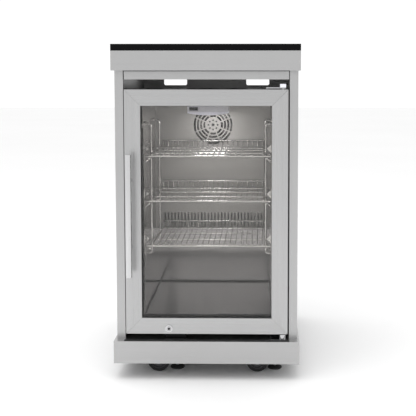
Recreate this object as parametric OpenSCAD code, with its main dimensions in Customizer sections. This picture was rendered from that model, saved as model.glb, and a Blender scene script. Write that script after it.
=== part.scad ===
// Outdoor glass-door refrigerator in a stainless steel cabinet on casters.
// Millimetres, +Z up, the door faces -Y. The origin is on the floor, at the middle of the overall box.

/* [Cabinet] */
// Overall width of the countertop and of the plinth
cab_w = 510; // [460:5:620]
// Depth of the countertop, without the handle
cab_d = 640; // [560:5:760]
// Height of the countertop above the floor
cab_h = 920; // [860:5:1060]
// Thickness of the stone countertop
top_t = 18; // [12:1:30]
// Height of the steel box below the countertop
fascia_h = 53; // [40:1:80]
// How far the top box and the plinth stand proud of each side panel
side_step = 5; // [3:1:12]
// How far the top box and the plinth stand proud of the stiles in front
front_step = 33; // [26:1:45]
// Width of each front stile
stile_w = 23; // [18:1:40]
// Height of the strip below the top box, over the door opening
header_h = 24; // [12:1:40]
// Thickness of the stainless sheet
sheet_t = 1.5; // [1:0.25:2.5]
// Height of the plinth's lower edge above the floor
plinth_low = 46; // [40:1:70]
// Height of the plinth
plinth_h = 62; // [50:1:90]
// Thickness of the steel deck that carries everything
deck_t = 4; // [3:0.5:6]
// How far the rear panel lies in front of the countertop's rear edge
rear_inset = 5; // [4:1:15]

/* [Door] */
// Gap between the door and each stile
door_gap = 4.5; // [3:0.5:8]
// Gap between the door and the plinth
door_low_gap = 17; // [14:1:25]
// Dark gap between the door and the header strip
door_top_gap = 27; // [22:1:40]
// How far the door stands proud of the stiles
door_proud = 17; // [12:1:20]
// Thickness of the door without its gasket
door_t = 45; // [40:1:60]
// Width of the door's stainless frame
door_bar_w = 44; // [34:1:60]
// Thickness of the door's stainless skin
skin_t = 1.2; // [0.8:0.1:2]
// Hairline gap at each mitre of the skin
mitre_gap = 0.4; // [0.2:0.1:0.8]
// Depth of the lip in front of the glass
lip_d = 4; // [3:0.5:6]
// Thickness of the outer glass pane
outer_pane_t = 5; // [4:0.5:6]
// Thickness of the inner glass pane
inner_pane_t = 4; // [3:0.5:6]
// Air space between the panes
pane_air = 12; // [8:1:16]
// How far the glass reaches behind the frame
glass_bite = 8; // [6:1:12]
// Free thickness of the magnetic gasket
gasket_t = 7; // [5:0.5:10]
// Radius of the hinge pins
pin_r = 4; // [3:0.5:6]
// Distance of the hinge axis from the door's front face
hinge_back = 9; // [7:0.5:12]
// Distance of the hinge axis from the door's side face
hinge_in = 14.5; // [12:0.5:18]
// Radius of the handle bar
handle_r = 8; // [6:0.5:12]
// Length of the handle bar
handle_len = 332; // [240:4:480]
// Distance between the two handle posts
handle_post_gap = 184; // [120:4:300]
// Distance from the door's face to the middle of the bar
handle_out = 45; // [36:1:60]
// Distance from the door's free edge to the middle of the bar
handle_in = 16.5; // [12:0.5:30]
// Height of the bar's middle above the door's lower edge
handle_mid = 334; // [250:1:420]
// Radius of the lock's flange
lock_r = 10; // [9:0.5:13]
// Distance from the door's free edge to the lock
lock_in = 118.5; // [60:0.5:200]

/* [Refrigerator] */
// Thickness of the insulated wall, with both skins
wall_t = 41.5; // [30:0.5:60]
// Thickness of the shell and of the liner
liner_t = 1.5; // [1:0.1:2.5]
// Height of the refrigerator's feet
fridge_foot_h = 10; // [6:1:20]
// Depth of the machine bay behind the insulated box
bay_d = 100; // [98:1:160]
// Depth of the space for the fan and the evaporator
evap_space = 102; // [90:1:130]
// Height of the evaporator cover below the ceiling
cover_h = 397; // [340:1:420]
// Radius of the fan grille
grille_r = 61; // [50:1:75]
// Distance from the ceiling to the middle of the fan grille
grille_drop = 70; // [66:1:95]
// Distance of the control and lamp housing from the cavity's mouth
housing_in = 34; // [28:1:60]
// Width of the control and lamp housing
housing_w = 115; // [90:1:150]
// Depth of the control and lamp housing
housing_d = 80; // [60:1:100]
// Height of the control and lamp housing
housing_h = 27; // [24:1:40]

/* [Shelves] */
// Height of the lowest shelf above the floor of the cavity
shelf_low = 204; // [150:1:210]
// Distance between shelves
shelf_pitch = 127; // [100:1:135]
// Diameter of the rods that frame a shelf
rod_d = 6; // [5:0.5:8]
// Diameter of the wires of a shelf
wire_d = 3.2; // [2.4:0.2:4.5]
// Distance between the wires of a shelf
wire_pitch = 15.5; // [12:0.5:25]
// Height of the stop rail at a shelf's back
rail_h = 17; // [12:1:30]
// How far a shelf can slide with the door closed
shelf_travel = 16; // [8:1:16]

/* [Running gear] */
// Radius of the caster wheels
wheel_r = 31; // [25:1:33]
// Width of the caster wheels
wheel_w = 22; // [18:1:28]
// Distance between a caster's swivel axis and its wheel's axle
trail = 20; // [15:1:25]
// Distance of the wheels from the middle of the cabinet
wheel_x = 139.5; // [120:0.5:160]
// Distance of the wheels behind the front and before the back of the body
wheel_in = 47; // [45:1:80]
// Radius of the levelling feet
foot_r = 20; // [15:1:20]
// Sideways distance from a front wheel to its levelling foot
foot_dx = 50; // [50:1:60]
// Distance of a levelling foot behind its wheel
foot_dy = 27; // [26:1:40]
// How far a levelling foot screws up
foot_travel = 6; // [3:1:8]

/* [Hidden] */
$fn = 64;
// Number of wire shelves
shelf_n = 3;
// Number of sides of a bent wire or tube, which is drawn as a prism
wire_fn = 8;
// Radial clearance of a pin or shaft that turns in its bore
run = 0.05;
// Radial clearance of a round piece that is pushed into its hole
push = 0.1;
// Amount that a cutter reaches past the surface it cuts
past = 1;

// Levels
fridge_drop = 5;
top_z = cab_h - top_t;
fascia_low = top_z - fascia_h;
header_low = fascia_low - header_h;
ledge_z = plinth_low + plinth_h;
deck_top = ledge_z - sheet_t;
deck_low = deck_top - deck_t;
door_low = ledge_z + door_low_gap;
door_top = header_low - door_top_gap;
door_h = door_top - door_low;
fridge_low = deck_top + fridge_foot_h;
fridge_top = door_top - fridge_drop;
cavity_low = fridge_low + wall_t;
cavity_top = fridge_top - wall_t;

// Depths, from front to back
handle_reach = handle_out + handle_r + door_proud - front_step;
front_y = -(cab_d + handle_reach) / 2 + handle_reach;
back_y = front_y + cab_d;
body_y = front_y + front_step;
rear_y = back_y - rear_inset;
door_y = body_y - door_proud;
door_back = door_y + door_t;
gasket_air = 1;
face_t = 3;
shelf_air = 9;
fridge_y = door_back + gasket_t + gasket_air;
fridge_back = rear_y - sheet_t - bay_d;
cavity_back = fridge_back - wall_t;
cover_y = cavity_back - evap_space;

// Half widths
half_w = cab_w / 2;
body_x = half_w - side_step;
open_x = body_x - stile_w;
door_x = open_x - door_gap;
cavity_x = door_x - wall_t;
glass_x = door_x - door_bar_w;
glass_low = door_low + door_bar_w;
glass_top = door_top - door_bar_w;

// Joint places
hinge_x = door_x - hinge_in;
hinge_y = door_y + hinge_back;
plug_r = 6;
lock_up = 15;
lock_x = -door_x + lock_in;
lock_z = door_low + lock_up;
handle_x = -door_x + handle_in;
handle_y = door_y - handle_out;
handle_z = door_low + handle_mid;
grille_z = cavity_top - grille_drop;
shelf_front = fridge_y + shelf_travel;
shelf_back = cover_y - shelf_air;
shelf_z = [for (i = [0:shelf_n - 1]) cavity_low + shelf_low + i * shelf_pitch];
housing_y = fridge_y + housing_in;
housing_low = cavity_top - housing_h;
lens_h = 9;
switch_w = 24;
switch_h = 9;
switch_t = 3;
switch_pin = 2;
switch_x = -40;
switch_y = housing_y + switch_t + 1;
switch_z = housing_low + lens_h + switch_h;
caster_y = [body_y + wheel_in, rear_y - wheel_in];
// Each foot stands to the right of its front wheel
foot_x = [-wheel_x + foot_dx, wheel_x + foot_dx];
foot_y = body_y + wheel_in + foot_dy;
stem_r = 5;
foot_air = 6;

// Colours
steel = [0.72, 0.72, 0.73];
bright = [0.85, 0.85, 0.87];
black = [0.06, 0.06, 0.07];
grey = [0.5, 0.5, 0.52];
white = [0.9, 0.9, 0.94];
copper = [0.72, 0.42, 0.25];
tint = [0.6, 0.7, 0.7, 0.35];

// A box between two corners
module block(low, high) {
    translate(low) cube(high - low);
}

// A round bar along Z, Y or X, starting at a point
module bar_z(at, r, len) {
    translate(at) cylinder(r = r, h = len);
}
module bar_y(at, r, len) {
    translate(at) rotate([-90, 0, 0]) cylinder(r = r, h = len);
}
module bar_x(at, r, len) {
    translate(at) rotate([0, 90, 0]) cylinder(r = r, h = len);
}

// The same bars as eight-sided wires, with a flat on each side
module wire_z(at, d, len) {
    translate(at) rotate(22.5) cylinder(r = d / 2 / cos(22.5), h = len, $fn = wire_fn);
}
module wire_y(at, d, len) {
    translate(at) rotate([-90, 0, 0]) rotate(22.5) cylinder(r = d / 2 / cos(22.5), h = len, $fn = wire_fn);
}
module wire_x(at, d, len) {
    translate(at) rotate([0, 90, 0]) rotate(22.5) cylinder(r = d / 2 / cos(22.5), h = len, $fn = wire_fn);
}

// ---- Cabinet ----

module countertop() {
    color(black) block([-half_w, front_y, top_z], [half_w, back_y, cab_h]);
}

// A sheet collar with a flange turned inwards at its top and at its bottom
top_flange = 25;
rear_flange = 20;
module top_frame() {
    color(steel) difference() {
        block([-half_w, front_y, fascia_low], [half_w, back_y, top_z]);
        block([-half_w + sheet_t, front_y + sheet_t, fascia_low + sheet_t],
            [half_w - sheet_t, back_y - sheet_t, top_z - sheet_t]);
        block([-open_x, body_y + sheet_t, fascia_low - past],
            [open_x, rear_y - rear_flange, fascia_low + sheet_t + past]);
        block([-half_w + top_flange, body_y + sheet_t, top_z - sheet_t - past],
            [half_w - top_flange, rear_y - rear_flange, top_z + past]);
    }
}

// A sheet tray upside down on the deck, with a window that the refrigerator and its machine bay stand in
ledge_side = 30;
ledge_front = 10;
ledge_rear = 6;
module plinth_cover() {
    color(steel) difference() {
        block([-half_w, front_y, plinth_low], [half_w, back_y, ledge_z]);
        block([-half_w + sheet_t, front_y + sheet_t, plinth_low - past],
            [half_w - sheet_t, back_y - sheet_t, deck_top]);
        block([-open_x + ledge_side, fridge_y + ledge_front, deck_top - past],
            [open_x - ledge_side, rear_y - ledge_rear, ledge_z + past]);
    }
}

module base_deck() {
    color(grey) difference() {
        block([-half_w + sheet_t, front_y + sheet_t, deck_low],
            [half_w - sheet_t, back_y - sheet_t, deck_top]);
        for (x = foot_x) {
            bar_z([x, foot_y, deck_low - past], stem_r + run, deck_t + 2 * past);
        }
    }
}

// One side panel seen from above, with the stile folded at its front and a flange at its rear
module side_profile() {
    stile_return = 30;
    difference() {
        translate([-body_x, body_y]) square([stile_w, rear_y - sheet_t - body_y]);
        translate([-body_x + sheet_t, body_y + sheet_t])
            square([stile_w - 2 * sheet_t, rear_y - body_y - 3 * sheet_t]);
        translate([-open_x - 2 * sheet_t, body_y + stile_return])
            square([2 * sheet_t + past, rear_y - body_y - stile_return - 2 * sheet_t]);
    }
}

module side_panel_left() {
    color(steel) translate([0, 0, ledge_z]) linear_extrude(fascia_low - ledge_z) side_profile();
}

module side_panel_right() {
    color(steel) mirror([1, 0, 0]) translate([0, 0, ledge_z])
        linear_extrude(fascia_low - ledge_z) side_profile();
}

// The header is a channel that is open to the rear
module header_strip() {
    header_y = body_y + 4;
    header_d = 22;
    color(steel) difference() {
        block([-open_x, header_y, header_low], [open_x, header_y + header_d, fascia_low]);
        block([-open_x - past, header_y + sheet_t, header_low + sheet_t],
            [open_x + past, header_y + header_d + past, fascia_low - sheet_t]);
    }
}

// Rear panel: two hand slots high up, louvre slots over the machine bay and a round cable outlet
slot_w = 78;
slot_h = 34;
slot_r = 6;
slot_x = 140;
slot_low = door_top + 5;
louvre_n = 14;
louvre_w = 6;
louvre_h = 60;
louvre_pitch = 22;
louvre_x = -10;
louvre_z = [ledge_z + 120, ledge_z + 210];
outlet_r = 14;
outlet_x = 180;
outlet_z = ledge_z + 42;
punch = 10;
// Cutter for a hand slot: a rectangle with rounded corners
module hand_slot() {
    end_x = slot_w / 2 - slot_r;
    end_z = slot_h / 2 - slot_r;
    cube([slot_w, punch, 2 * end_z], center = true);
    cube([2 * end_x, punch, slot_h], center = true);
    for (x = [-end_x, end_x], z = [-end_z, end_z]) {
        bar_y([x, -punch / 2, z], slot_r, punch);
    }
}

module rear_panel() {
    color(steel) difference() {
        block([-body_x, rear_y - sheet_t, ledge_z], [body_x, rear_y, fascia_low]);
        for (side = [-1, 1]) {
            translate([side * slot_x, rear_y, slot_low + slot_h / 2]) hand_slot();
        }
        for (z = louvre_z, i = [0:louvre_n - 1]) {
            translate([(i - (louvre_n - 1) / 2) * louvre_pitch + louvre_x, rear_y, z])
                cube([louvre_w, punch, louvre_h], center = true);
        }
        bar_y([outlet_x, rear_y - punch / 2, outlet_z], outlet_r, punch);
    }
}

screw_n = 6;
module panel_screws() {
    screw_in = 12;
    first_z = ledge_z + 40;
    last_z = fascia_low - 40;
    color(bright) for (side = [-1, 1], i = [0:screw_n - 1]) {
        bar_y([side * (body_x - screw_in), rear_y, first_z + i * (last_z - first_z) / (screw_n - 1)], 4, 2.2);
    }
}

// A collar pushed into the outlet from behind, with a free bore
module cable_gland() {
    gland_d = 12;
    rim_w = 4;
    rim_t = 3;
    bore_r = 5;
    color(black) difference() {
        union() {
            bar_y([outlet_x, rear_y, outlet_z], outlet_r + rim_w, rim_t);
            bar_y([outlet_x, rear_y - gland_d, outlet_z], outlet_r - push, gland_d + past);
        }
        bar_y([outlet_x, rear_y - gland_d - past, outlet_z], bore_r, gland_d + rim_t + 2 * past);
    }
}

// ---- Refrigerator ----

module fridge_shell() {
    color(black) difference() {
        block([-door_x, fridge_y + face_t, fridge_low], [door_x, fridge_back, fridge_top]);
        block([-door_x + liner_t, fridge_y, fridge_low + liner_t],
            [door_x - liner_t, fridge_back - liner_t, fridge_top - liner_t]);
    }
}

module insulation() {
    color("khaki") difference() {
        block([-door_x + liner_t, fridge_y + face_t, fridge_low + liner_t],
            [door_x - liner_t, fridge_back - liner_t, fridge_top - liner_t]);
        block([-cavity_x - liner_t, fridge_y, cavity_low - liner_t],
            [cavity_x + liner_t, cavity_back + liner_t, cavity_top + liner_t]);
    }
}

module fridge_liner() {
    color(bright) difference() {
        block([-cavity_x - liner_t, fridge_y + face_t, cavity_low - liner_t],
            [cavity_x + liner_t, cavity_back + liner_t, cavity_top + liner_t]);
        block([-cavity_x, fridge_y, cavity_low], [cavity_x, cavity_back, cavity_top]);
    }
}

module face_frame() {
    color(black) difference() {
        block([-door_x, fridge_y, fridge_low], [door_x, fridge_y + face_t, fridge_top]);
        block([-cavity_x, fridge_y - past, cavity_low], [cavity_x, fridge_y + face_t + past, cavity_top]);
    }
}

module fridge_feet() {
    pad_x = 145;
    pad_r = 12;
    color(black) for (side = [-1, 1], y = [fridge_y + 48, fridge_back - 30]) {
        bar_z([side * pad_x, y, deck_top], pad_r, fridge_foot_h);
    }
}

// The fan grille in the XZ plane: a dot, a ring of dots and four rings of arcs in eight sectors
grille_rings = 4;
grille_slot = 6.2;
grille_spoke = 4;
grille_eye = 21;
module grille_holes() {
    ring_pitch = (grille_r - grille_eye) / grille_rings;
    dot_r = 4.5;
    pinhole_r = 2.8;
    pinhole_ring = 14.5;
    circle(r = dot_r);
    for (k = [0:7]) {
        rotate(k * 45) translate([pinhole_ring, 0]) circle(r = pinhole_r);
    }
    difference() {
        for (k = [1:grille_rings]) {
            difference() {
                circle(r = grille_eye + k * ring_pitch);
                circle(r = grille_eye + k * ring_pitch - grille_slot);
            }
        }
        for (k = [0:3]) {
            rotate(22.5 + k * 45) square([2 * grille_r + 4, grille_spoke], center = true);
        }
    }
}

vent_n = 30;
vent_w = 5;
vent_h = 43;
vent_pitch = 10.5;
vent_up = 7;
cover_t = 1.5;
cover_low = cavity_top - cover_h;
cover_x = cavity_x - 0.5;
module evaporator_cover() {
    color(bright) difference() {
        union() {
            block([-cover_x, cover_y, cover_low], [cover_x, cover_y + cover_t, cavity_top]);
            block([-cover_x, cover_y, cover_low], [cover_x, cavity_back, cover_low + cover_t]);
        }
        translate([0, cover_y + punch / 2, grille_z]) rotate([90, 0, 0]) linear_extrude(punch) grille_holes();
        for (i = [0:vent_n - 1]) {
            translate([(i - (vent_n - 1) / 2) * vent_pitch, cover_y, cover_low + vent_up + vent_h / 2])
                cube([vent_w, punch, vent_h], center = true);
        }
    }
}

// A stack of upright fins on two rows of tubes
module evaporator_coil() {
    fin_pitch = 15;
    fin_t = 1;
    fin_h = 150;
    coil_low = cover_low + 77;
    coil_y = cover_y + 26;
    tube_d = 9;
    tube_len = 300;
    tube_pitch = 36;
    row_pitch = 28;
    color(grey) union() {
        for (i = [-9:9]) {
            block([i * fin_pitch - fin_t / 2, coil_y, coil_low],
                [i * fin_pitch + fin_t / 2, cavity_back - 12, coil_low + fin_h]);
        }
        for (row = [0, 1], k = [0:3]) {
            wire_x([-tube_len / 2, coil_y + 16 + row * row_pitch, coil_low + 20 + k * tube_pitch],
                tube_d, tube_len);
        }
    }
}

fan_hub_r = 13;
fan_shaft_r = 2.5;
fan_gap = 14;
fan_depth = 14;
module fan_motor() {
    motor_y = cover_y + fan_gap + fan_depth + 2;
    motor_r = 22;
    motor_len = 30;
    strap_t = 2;
    strap_h = 16;
    strap_x = motor_r + 4;
    strap_y = motor_y + motor_len - past;
    color(black) union() {
        bar_y([0, motor_y, grille_z], motor_r, motor_len);
        bar_y([0, motor_y - fan_depth, grille_z], fan_shaft_r, fan_depth + past);
        block([-strap_x, strap_y, grille_z - strap_h / 2],
            [strap_x, strap_y + strap_t, grille_z + strap_h / 2]);
        for (side = [-1, 1]) {
            translate([side * (strap_x - strap_t / 2), (strap_y + cavity_back) / 2, grille_z])
                cube([strap_t, cavity_back - strap_y, strap_h], center = true);
        }
    }
}

// A hub with five blades that reach to just inside the grille's rim
module fan_blades() {
    fan_y = cover_y + fan_gap;
    blade_n = 5;
    blade_t = 1.5;
    blade_w = 20;
    blade_tilt = 32;
    root = 2;
    blade_len = grille_r - fan_hub_r - 4 - root;
    color(grey) difference() {
        union() {
            bar_y([0, fan_y, grille_z], fan_hub_r, fan_depth);
            for (k = [0:blade_n - 1]) {
                translate([0, fan_y + fan_depth / 2, grille_z]) rotate([0, k * 360 / blade_n, 0])
                    translate([fan_hub_r - root + blade_len / 2, 0, 0]) rotate([blade_tilt, 0, 0])
                    cube([blade_len, blade_t, blade_w], center = true);
            }
        }
        bar_y([0, fan_y - past, grille_z], fan_shaft_r + run, fan_depth + 2 * past);
    }
}

// Front outline of the control housing and its lens: straight sides over a shallow arc
module housing_outline(z0, z1) {
    sag = 6;
    arc_r = (pow(housing_w / 2, 2) + sag * sag) / (2 * sag);
    translate([0, housing_y + housing_d, 0]) rotate([90, 0, 0]) linear_extrude(housing_d) intersection() {
        translate([-housing_w / 2, z0]) square([housing_w, z1 - z0]);
        translate([0, housing_low + arc_r]) circle(r = arc_r, $fn = 256);
    }
}

switch_pin_r = 1;
module control_housing() {
    side_gap = 0.5;
    rock_gap = 1.5;
    pocket_d = 14;
    bore_len = switch_w + 2 * (switch_pin + past);
    color(white) difference() {
        housing_outline(housing_low + lens_h, cavity_top);
        block([switch_x - switch_w / 2 - side_gap, housing_y - past, switch_z - switch_h / 2 - rock_gap],
            [switch_x + switch_w / 2 + side_gap, housing_y + pocket_d, switch_z + switch_h / 2 + rock_gap]);
        bar_x([switch_x - bore_len / 2, switch_y, switch_z], switch_pin_r + run, bore_len);
    }
}

module light_switch() {
    pin_len = switch_w + 2 * switch_pin;
    color(black) union() {
        block([switch_x - switch_w / 2, switch_y - 2 * switch_t, switch_z - switch_h / 2],
            [switch_x + switch_w / 2, switch_y + switch_t, switch_z + switch_h / 2]);
        bar_x([switch_x - pin_len / 2, switch_y, switch_z], switch_pin_r, pin_len);
    }
}

module light_lens() {
    color(white) housing_outline(housing_low, housing_low + lens_h);
}

// ---- Shelves and what holds them ----

side_x = cavity_x - 26;
rod_reach = cavity_x - 5;
rack_x = cavity_x - 18;
post_y = [fridge_y + 62, fridge_y + 272];
// How deep a wire is welded into the rod below it
weld = 0.5;
// Wires run from front to back and turn up to the stop rail; rods under them span the shelf
module shelf(level) {
    rod_z = level - wire_d - rod_d / 2 + weld;
    wire_n = floor(2 * side_x / wire_pitch);
    thin = 0.8;
    upright_y = shelf_back - wire_d / 2 - thin / 2;
    color(bright) union() {
        for (i = [0:wire_n]) {
            x = -side_x + i * 2 * side_x / wire_n;
            wire_y([x, shelf_front, level - wire_d / 2], wire_d, shelf_back - shelf_front);
            wire_z([x, upright_y, level - wire_d / 2], wire_d - thin, rail_h + wire_d / 2);
        }
        for (y = [shelf_front + rod_d / 2 + 1, shelf_back - 2 * rod_d]) {
            wire_x([-rod_reach, y, rod_z], rod_d, 2 * rod_reach);
        }
        for (k = [1, 2]) {
            wire_x([-side_x - 1, shelf_front + k * (shelf_back - shelf_front) / 3, rod_z + 0.3],
                rod_d - 1, 2 * side_x + 2);
        }
        wire_x([-side_x - wire_d, upright_y, level + rail_h], rod_d - 1.2, 2 * (side_x + wire_d));
    }
}
module shelf_top() shelf(shelf_z[2]);
module shelf_middle() shelf(shelf_z[1]);
module shelf_bottom() shelf(shelf_z[0]);

// Chrome rack beside the shelves: two posts, and under each shelf a rail with a brace to the wall
module rack() {
    post_d = 7;
    rail_d = 5;
    rail_gap = 0.3;
    brace_drop = 14;
    brace_t = 4;
    button_r = 8;
    button_t = 3;
    rack_top = shelf_z[shelf_n - 1] + 89;
    rack_low = shelf_z[0] - 40;
    color(bright) union() {
        for (y = post_y) {
            wire_z([rack_x, y, rack_low], post_d, rack_top - rack_low);
            for (z = [rack_low + post_d, rack_top - post_d]) {
                wire_x([rack_x, y, z], post_d - 1.6, cavity_x - rack_x - button_t + past);
                bar_x([cavity_x - button_t, y, z], button_r, button_t);
            }
        }
        for (level = shelf_z) {
            rail_z = level - wire_d - rod_d + weld - rail_gap - rail_d / 2;
            wire_y([rack_x, shelf_front - 3, rail_z], rail_d, shelf_back - shelf_front - 3);
            for (y = post_y) {
                translate([0, y - post_d, 0]) rotate([90, 0, 0]) linear_extrude(brace_t)
                    polygon([[rack_x - 1.5, rail_z], [rack_x + 1, rail_z + 1.6],
                        [cavity_x, rail_z - brace_drop],
                        [cavity_x, rail_z - brace_drop - brace_t]]);
            }
        }
    }
}
module rack_right() rack();
module rack_left() mirror([1, 0, 0]) rack();

// Slotted strips on the side walls at the front, with a clip over each shelf
module wall_strips() {
    strip_t = 3.5;
    strip_w = 12;
    strip_y = fridge_y + 5;
    clip_h = 24;
    clip_out = 16;
    clip_t = 2;
    clip_gap = 4;
    color(bright) for (side = [0, 1]) {
        mirror([side, 0, 0]) union() {
            block([cavity_x - strip_t, strip_y, cavity_low + 40],
                [cavity_x, strip_y + strip_w, cavity_top - 62]);
            for (level = shelf_z) {
                translate([0, strip_y + strip_w, level + clip_gap]) rotate([90, 0, 0]) linear_extrude(clip_t)
                    polygon([[cavity_x - strip_t, 0], [cavity_x - strip_t, clip_h],
                        [cavity_x - clip_out, clip_h / 2]]);
            }
        }
    }
}

// ---- Machine bay behind the insulated box ----

bay_y = (fridge_back + rear_y - sheet_t) / 2;
comp_x = -110;
comp_r = 44;
comp_h = 120;
mount_h = 9;
mount_r = 8;
base_t = 3;
base_x = 62;
base_y = 44;
comp_low = deck_top + mount_h + base_t;
comp_top = comp_low + comp_h;
tube_d = 6;
tube_x = comp_x + 12;
tube_y = bay_y + 34;
stub_top = comp_top + 6;
// A domed pot on a base plate, with a terminal box on its side and a stub for the tube
module compressor() {
    dome = 24;
    stub_r = 4;
    box_y = 22;
    color(black) union() {
        block([comp_x - base_x, bay_y - base_y, comp_low - base_t],
            [comp_x + base_x, bay_y + base_y, comp_low]);
        translate([comp_x, bay_y, comp_low]) rotate_extrude() union() {
            square([comp_r, comp_h - dome]);
            translate([0, comp_h - dome]) square([comp_r - dome, dome]);
            translate([comp_r - dome, comp_h - dome]) intersection() {
                circle(r = dome);
                square([dome, dome]);
            }
        }
        block([comp_x + comp_r - 14, bay_y - box_y, comp_low + 25],
            [comp_x + comp_r + 16, bay_y + box_y, comp_low + 75]);
        bar_z([tube_x, tube_y, comp_top - dome], stub_r, stub_top - comp_top + dome);
    }
}

module compressor_mounts() {
    color(black) for (side = [-1, 1], end = [-1, 1]) {
        bar_z([comp_x + side * (base_x - mount_r), bay_y + end * (base_y - mount_r), deck_top],
            mount_r, mount_h);
    }
}

// A block of upright fins on five tubes
cond_x = [0, 150];
cond_half = 30;
cond_h = 180;
cond_tube_d = 8;
cond_end = 8;
cond_low = deck_top + 22;
module condenser() {
    fin_n = 12;
    fin_t = 1;
    tube_pitch = 34;
    color(copper) union() {
        for (i = [0:fin_n]) {
            x = cond_x[0] + i * (cond_x[1] - cond_x[0]) / fin_n;
            block([x - fin_t / 2, bay_y - cond_half, deck_top],
                [x + fin_t / 2, bay_y + cond_half, deck_top + cond_h]);
        }
        for (k = [0:4]) {
            wire_x([cond_x[0] - cond_end, bay_y, cond_low + k * tube_pitch], cond_tube_d,
                cond_x[1] - cond_x[0] + 2 * cond_end);
        }
    }
}

// Copper tube from the compressor's stub over to the condenser's lowest tube, in square bends
module refrigerant_tube() {
    thin = 0.8;
    over_z = comp_top + 40;
    drop_x = cond_x[0] - cond_end - 12;
    color(copper) union() {
        wire_z([tube_x, tube_y, stub_top], tube_d, over_z - stub_top + tube_d / 2);
        wire_x([tube_x, tube_y, over_z], tube_d - thin, drop_x - tube_x);
        wire_z([drop_x, tube_y, cond_low - tube_d / 2], tube_d, over_z - cond_low + tube_d);
        wire_y([drop_x, bay_y, cond_low], tube_d - thin, tube_y - bay_y);
        wire_x([drop_x - tube_d / 2, bay_y, cond_low], tube_d, cond_x[0] - cond_end - drop_x + tube_d / 2);
    }
}

// An open tray on the compressor's top, which dries the defrost water
module drain_tray() {
    tray_t = 2;
    tray_x = 50;
    tray_h = 26;
    tray_y = [bay_y - 42, bay_y + 26];
    color(grey) difference() {
        block([comp_x - tray_x, tray_y[0], comp_top], [comp_x + tray_x, tray_y[1], comp_top + tray_h]);
        block([comp_x - tray_x + tray_t, tray_y[0] + tray_t, comp_top + tray_t],
            [comp_x + tray_x - tray_t, tray_y[1] - tray_t, comp_top + tray_h + past]);
    }
}

// ---- Hinges and striker on the cabinet ----

pin_reach = 18;
bracket_t = 3;
bracket_gap = 3;
bracket_edge = 8;
// A bracket bolted on the refrigerator's top, which reaches forward over the door and holds a pin
module top_hinge() {
    plate_z = door_top + bracket_gap;
    plate_x = [hinge_x - 46, hinge_x + bracket_edge];
    plate_back = fridge_y + 40;
    color(grey) union() {
        block([plate_x[0], hinge_y - bracket_edge, plate_z], [plate_x[1], plate_back, plate_z + bracket_t]);
        block([plate_x[0], fridge_y + face_t + 2, fridge_top], [plate_x[1], plate_back, plate_z]);
        bar_z([hinge_x, hinge_y, door_top - pin_reach], pin_r, pin_reach + bracket_gap + bracket_t);
    }
}

module hinge_cap() {
    cap_h = 9;
    cap_low = door_top + bracket_gap + bracket_t;
    color(white) block([hinge_x - bracket_edge, hinge_y - bracket_edge, cap_low],
        [hinge_x + bracket_edge, hinge_y + bracket_edge, cap_low + cap_h]);
}

// A foot plate on the plinth with a shoulder below the door and a pin in it
module bottom_hinge() {
    shoulder_r = 10;
    shoulder_gap = 2;
    color(bright) union() {
        block([hinge_x - 34, hinge_y - shoulder_r, ledge_z],
            [hinge_x + 11, hinge_y + 34, ledge_z + bracket_t]);
        bar_z([hinge_x, hinge_y, ledge_z], shoulder_r, door_low_gap - shoulder_gap);
        bar_z([hinge_x, hinge_y, ledge_z], pin_r, door_low_gap + pin_reach);
    }
}

// An angle on the plinth, whose upright leg stands in front of the lock's turned cam
liner_d = 15;
cam_y = door_back - 13;
cam_t = 3;
cam_len = 19;
cam_w = 12;
module lock_striker() {
    leg_y = cam_y - 8;
    leg_t = 3;
    foot_t = 2;
    striker_x = [lock_x - cam_w, lock_x + 46];
    color(grey) union() {
        block([striker_x[0], leg_y - 14, ledge_z], [striker_x[1], cam_y + 16, ledge_z + foot_t]);
        block([striker_x[0], leg_y - leg_t, ledge_z], [striker_x[1], leg_y, door_low - 4]);
    }
}

// ---- Door ----

// Bores in the door: two for the hinge pins and one for the lock
pin_room = 2;
module hinge_bores() {
    bar_z([hinge_x, hinge_y, door_top - pin_reach - pin_room], pin_r + run, pin_reach + pin_room + past);
    bar_z([hinge_x, hinge_y, door_low - past], pin_r + run, pin_reach + pin_room + past);
}

barrel_r = 8;
module door_bores() {
    hinge_bores();
    bar_y([lock_x, door_y - past, lock_z], barrel_r + push, door_t + 2 * past);
}

core_back = door_back - liner_d;
module door_skin() {
    difference() {
        block([-door_x, door_y, door_low], [door_x, core_back, door_top]);
        block([-door_x + skin_t, door_y + skin_t, door_low + skin_t],
            [door_x - skin_t, door_back, door_top - skin_t]);
        block([-glass_x, door_y - past, glass_low], [glass_x, door_back, glass_top]);
    }
    difference() {
        block([-glass_x - skin_t, door_y, glass_low - skin_t],
            [glass_x + skin_t, door_y + lip_d, glass_top + skin_t]);
        block([-glass_x, door_y - past, glass_low], [glass_x, door_back, glass_top]);
    }
}

module door_frame() {
    mid_z = (door_low + door_top) / 2;
    half_h = door_h / 2;
    color(steel) difference() {
        door_skin();
        for (sx = [-1, 1], sz = [-1, 1]) {
            translate([sx * (door_x - door_bar_w / 2), door_y, mid_z + sz * (half_h - door_bar_w / 2)])
                rotate([0, sx * sz * -45, 0])
                cube([2 * door_bar_w, 4 * door_t, mitre_gap], center = true);
        }
        door_bores();
    }
}

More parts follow.
